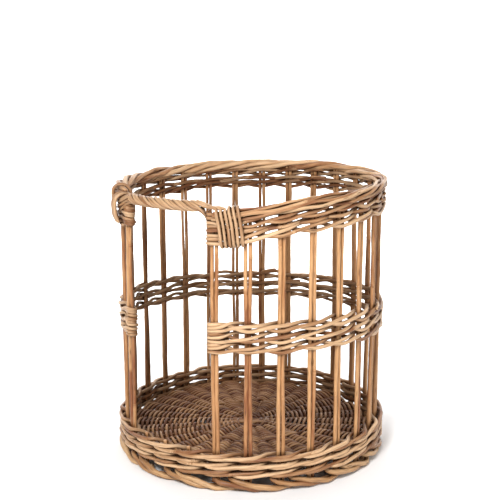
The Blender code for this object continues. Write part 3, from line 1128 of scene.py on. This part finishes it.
def girdle(outline, turn):
    """A place on the band's outline, outward and up: over the top at 0, then down the front."""
    at = turn * len(outline)
    return [curve_through([mark[k] for mark in outline], at, closed=True) for k in range(2)]


def winding_marks(post, side, first, turns, gap, slant, start_turn, outline=BAND_OUTLINE):
    """The marks of a rod wound round the rim band, slanting as it comes down the front.

    It begins at start_turn, the distance first along the band, and moves on by gap each turn.
    """
    marks = []
    for index in range(int(turns * WINDING_STEPS) + 1):
        whole, part = divmod(start_turn + index / WINDING_STEPS, 1.0)
        down = smooth_step((part - 0.05) / 0.45)
        back = smooth_step((part - 0.55) / 0.45)
        along = first + gap * whole + slant * down + (gap - slant) * back
        marks.append(beside(post, side, along, *girdle(outline, part)))
    return marks


def add_rope():
    """The rope: three rods run on as windings round the right band, the rest tuck in behind it."""
    strands = [twisted_strand(rod) for rod in range(ROPE_RODS)]
    order = sorted(range(ROPE_RODS), key=lambda k: -strands[k][-1].z)
    wound = sorted(order[:WOUND_RODS], key=lambda k: -strands[k][-1].xy.length)
    tucked = sorted(order[WOUND_RODS:], key=lambda k: -strands[k][-1].xy.length)
    tails = {}
    for place, rod in enumerate(wound):
        top = 0.0045 + 0.0050 * place
        onto_band = [
            beside(FRONT_POST, 1, -0.0065 + 0.0020 * place, 0.0010 - 0.0020 * place, 0.0185),
            beside(FRONT_POST, 1, -0.0010 + 0.0040 * place, 0.0035, 0.0190),
        ]
        tails[rod] = onto_band + winding_marks(
            FRONT_POST, 1, top, WOUND_TURNS, WOUND_RODS * WOUND_GAP, WOUND_SLANT, WOUND_START
        )
    for place, rod in enumerate(tucked):
        drop = 0.0020 * place
        tails[rod] = [
            beside(FRONT_POST, 1, -0.0120 + 0.3 * drop, -0.0020 - 0.6 * drop, 0.0105 - drop),
            beside(FRONT_POST, 1, -0.0070, -0.0060 - 0.5 * drop, 0.0020 - drop),
            beside(FRONT_POST, 1, -0.0010, -0.0120, -0.0070 - drop),
            beside(FRONT_POST, 1, 0.0080, -0.0128, -0.0140 - drop),
        ]
    rods = []
    for place, rod in enumerate(sorted(range(ROPE_RODS), key=lambda k: -strands[k][0].z)):
        up = 0.0030 - 0.0020 * place
        fan = 0.0014 * (place % 3)
        head = [
            beside(LEFT_POST, -1, 0.0210, 0.0010 + fan, up - 0.0030),
            beside(LEFT_POST, -1, 0.0120, 0.0050 + fan, up - 0.0010),
            beside(LEFT_POST, -1, 0.0020, 0.0035 + fan, 0.0030 + 0.9 * up),
        ]
        points = smooth_path(head + strands[rod] + tails[rod], ROPE_STEP)
        radii = rod_radii(points, ROPE_ROD_RADIUS * luck.uniform(0.95, 1.06))
        rods.append((points, radii, [0.0] * len(points)))
    rods_piece("front_rope_rods", rods, rope_willow, ["front_rope"], rounded=True)


def add_left_windings():
    """Rods wound round the band's other end, looser, with a gap between them.

    Each is (where it lies along the band, turns, how far it moves on in a turn, its outline).
    """
    rods = []
    ties = (
        (0.0062, 0.96, 0.0, LOW_OUTLINE),
        (0.0104, 0.96, 0.0, LOW_OUTLINE),
        (0.0146, 0.96, 0.0, LOW_OUTLINE),
        (0.0235, 1.14, 0.0045, BAND_OUTLINE),
    )
    for first, turns, gap, outline in ties:
        marks = winding_marks(LEFT_POST, -1, first, turns, gap, TIE_SLANT, TIE_START, outline)
        points = smooth_path(marks, ROPE_STEP)
        rods.append((points, rod_radii(points, TIE_RADIUS), [0.0] * len(points)))
    rods_piece("front_rope_ties", rods, rope_willow, ["front_rope"], rounded=True)


# ---- Room, light and camera ---------------------------------------------------------


SWEEP_START = 2.2
SWEEP_RADIUS = 0.8
SWEEP_STEPS = 12
STUDIO_FRONT = -3.5
STUDIO_HEIGHT = 4.0
STUDIO_WIDTH = 8.0
CAMERA_DOWN = 12.05


def add_studio_floor():
    """A pale floor that curves up into a pale backdrop far behind."""
    profile = [(STUDIO_FRONT, 0.0)]
    for step in range(SWEEP_STEPS + 1):
        turn = math.pi / 2 * step / SWEEP_STEPS
        back = SWEEP_START + SWEEP_RADIUS * math.sin(turn)
        profile.append((back, SWEEP_RADIUS - SWEEP_RADIUS * math.cos(turn)))
    profile.append((SWEEP_START + SWEEP_RADIUS, STUDIO_HEIGHT))
    mesh = bmesh.new()
    line = [mesh.verts.new((-STUDIO_WIDTH / 2, y, z)) for y, z in profile]
    edges = [mesh.edges.new(pair) for pair in zip(line, line[1:])]
    made = bmesh.ops.extrude_edge_only(mesh, edges=edges)["geom"]
    moved = [item for item in made if isinstance(item, bmesh.types.BMVert)]
    bmesh.ops.translate(mesh, verts=moved, vec=(STUDIO_WIDTH, 0.0, 0.0))
    mesh.normal_update()
    if mesh.faces[:][0].normal.z < 0:
        bmesh.ops.reverse_faces(mesh, faces=mesh.faces[:])
    data = bpy.data.meshes.new("studio_floor")
    mesh.to_mesh(data)
    mesh.free()
    data.shade_smooth()
    plane = bpy.data.objects.new("studio_floor", data)
    bpy.context.scene.collection.objects.link(plane)
    paint = bpy.data.materials.new("studio_floor")
    paint.use_nodes = True
    shader = paint.node_tree.nodes["Principled BSDF"]
    shader.inputs["Base Color"].default_value = (0.93, 0.93, 0.93, 1.0)
    shader.inputs["Roughness"].default_value = 0.9
    data.materials.append(paint)


def add_area_light(name, place, aim, size, power):
    """A round soft light at a place, turned towards its aim."""
    light = bpy.data.lights.new(name, "AREA")
    light.shape = "DISK"
    light.size = size
    light.energy = power
    lamp = bpy.data.objects.new(name, light)
    lamp.location = place
    lamp.rotation_euler = (Vector(aim) - Vector(place)).to_track_quat("-Z", "Y").to_euler()
    bpy.context.scene.collection.objects.link(lamp)


def add_lights():
    world = bpy.data.worlds.new("studio")
    bpy.context.scene.world = world
    world.use_nodes = True
    back = world.node_tree.nodes["Background"]
    back.inputs["Color"].default_value = (1.0, 1.0, 1.0, 1.0)
    back.inputs["Strength"].default_value = 0.26
    middle = (0.0, 0.0, 0.2)
    add_area_light("key", (-0.35, -1.15, 1.05), (0.0, -0.05, 0.18), size=0.40, power=21.0)
    add_area_light("fill", (1.1, -1.0, 0.6), middle, size=0.8, power=5.0)
    add_area_light("behind_left", (-1.0, 1.1, 0.9), middle, size=0.8, power=5.0)
    add_area_light("behind_right", (1.1, 1.0, 0.8), middle, size=0.8, power=5.0)
    add_area_light("backdrop", (0.0, 1.3, 1.7), (0.0, 2.6, 0.5), size=2.0, power=110.0)


def add_camera():
    """A little above the rim, in front, looking slightly down."""
    data = bpy.data.cameras.new("camera")
    data.sensor_width = 36.0
    data.lens = 74.6
    data.shift_x = -0.0018
    camera = bpy.data.objects.new("camera", data)
    camera.location = (0.0, -1.376, 0.564)
    camera.rotation_euler = (math.radians(90.0 - CAMERA_DOWN), 0.0, 0.0)
    bpy.context.scene.collection.objects.link(camera)
    bpy.context.scene.camera = camera
    bpy.context.scene.view_settings.view_transform = "Standard"


add_camera()
add_bottom_wale()
add_middle_band()
add_top_band()
add_stakes()
add_border()
add_foot()
add_floor()
add_rope()
add_left_windings()
paint_crevice_and_inside_shade()
add_studio_floor()
add_lights()
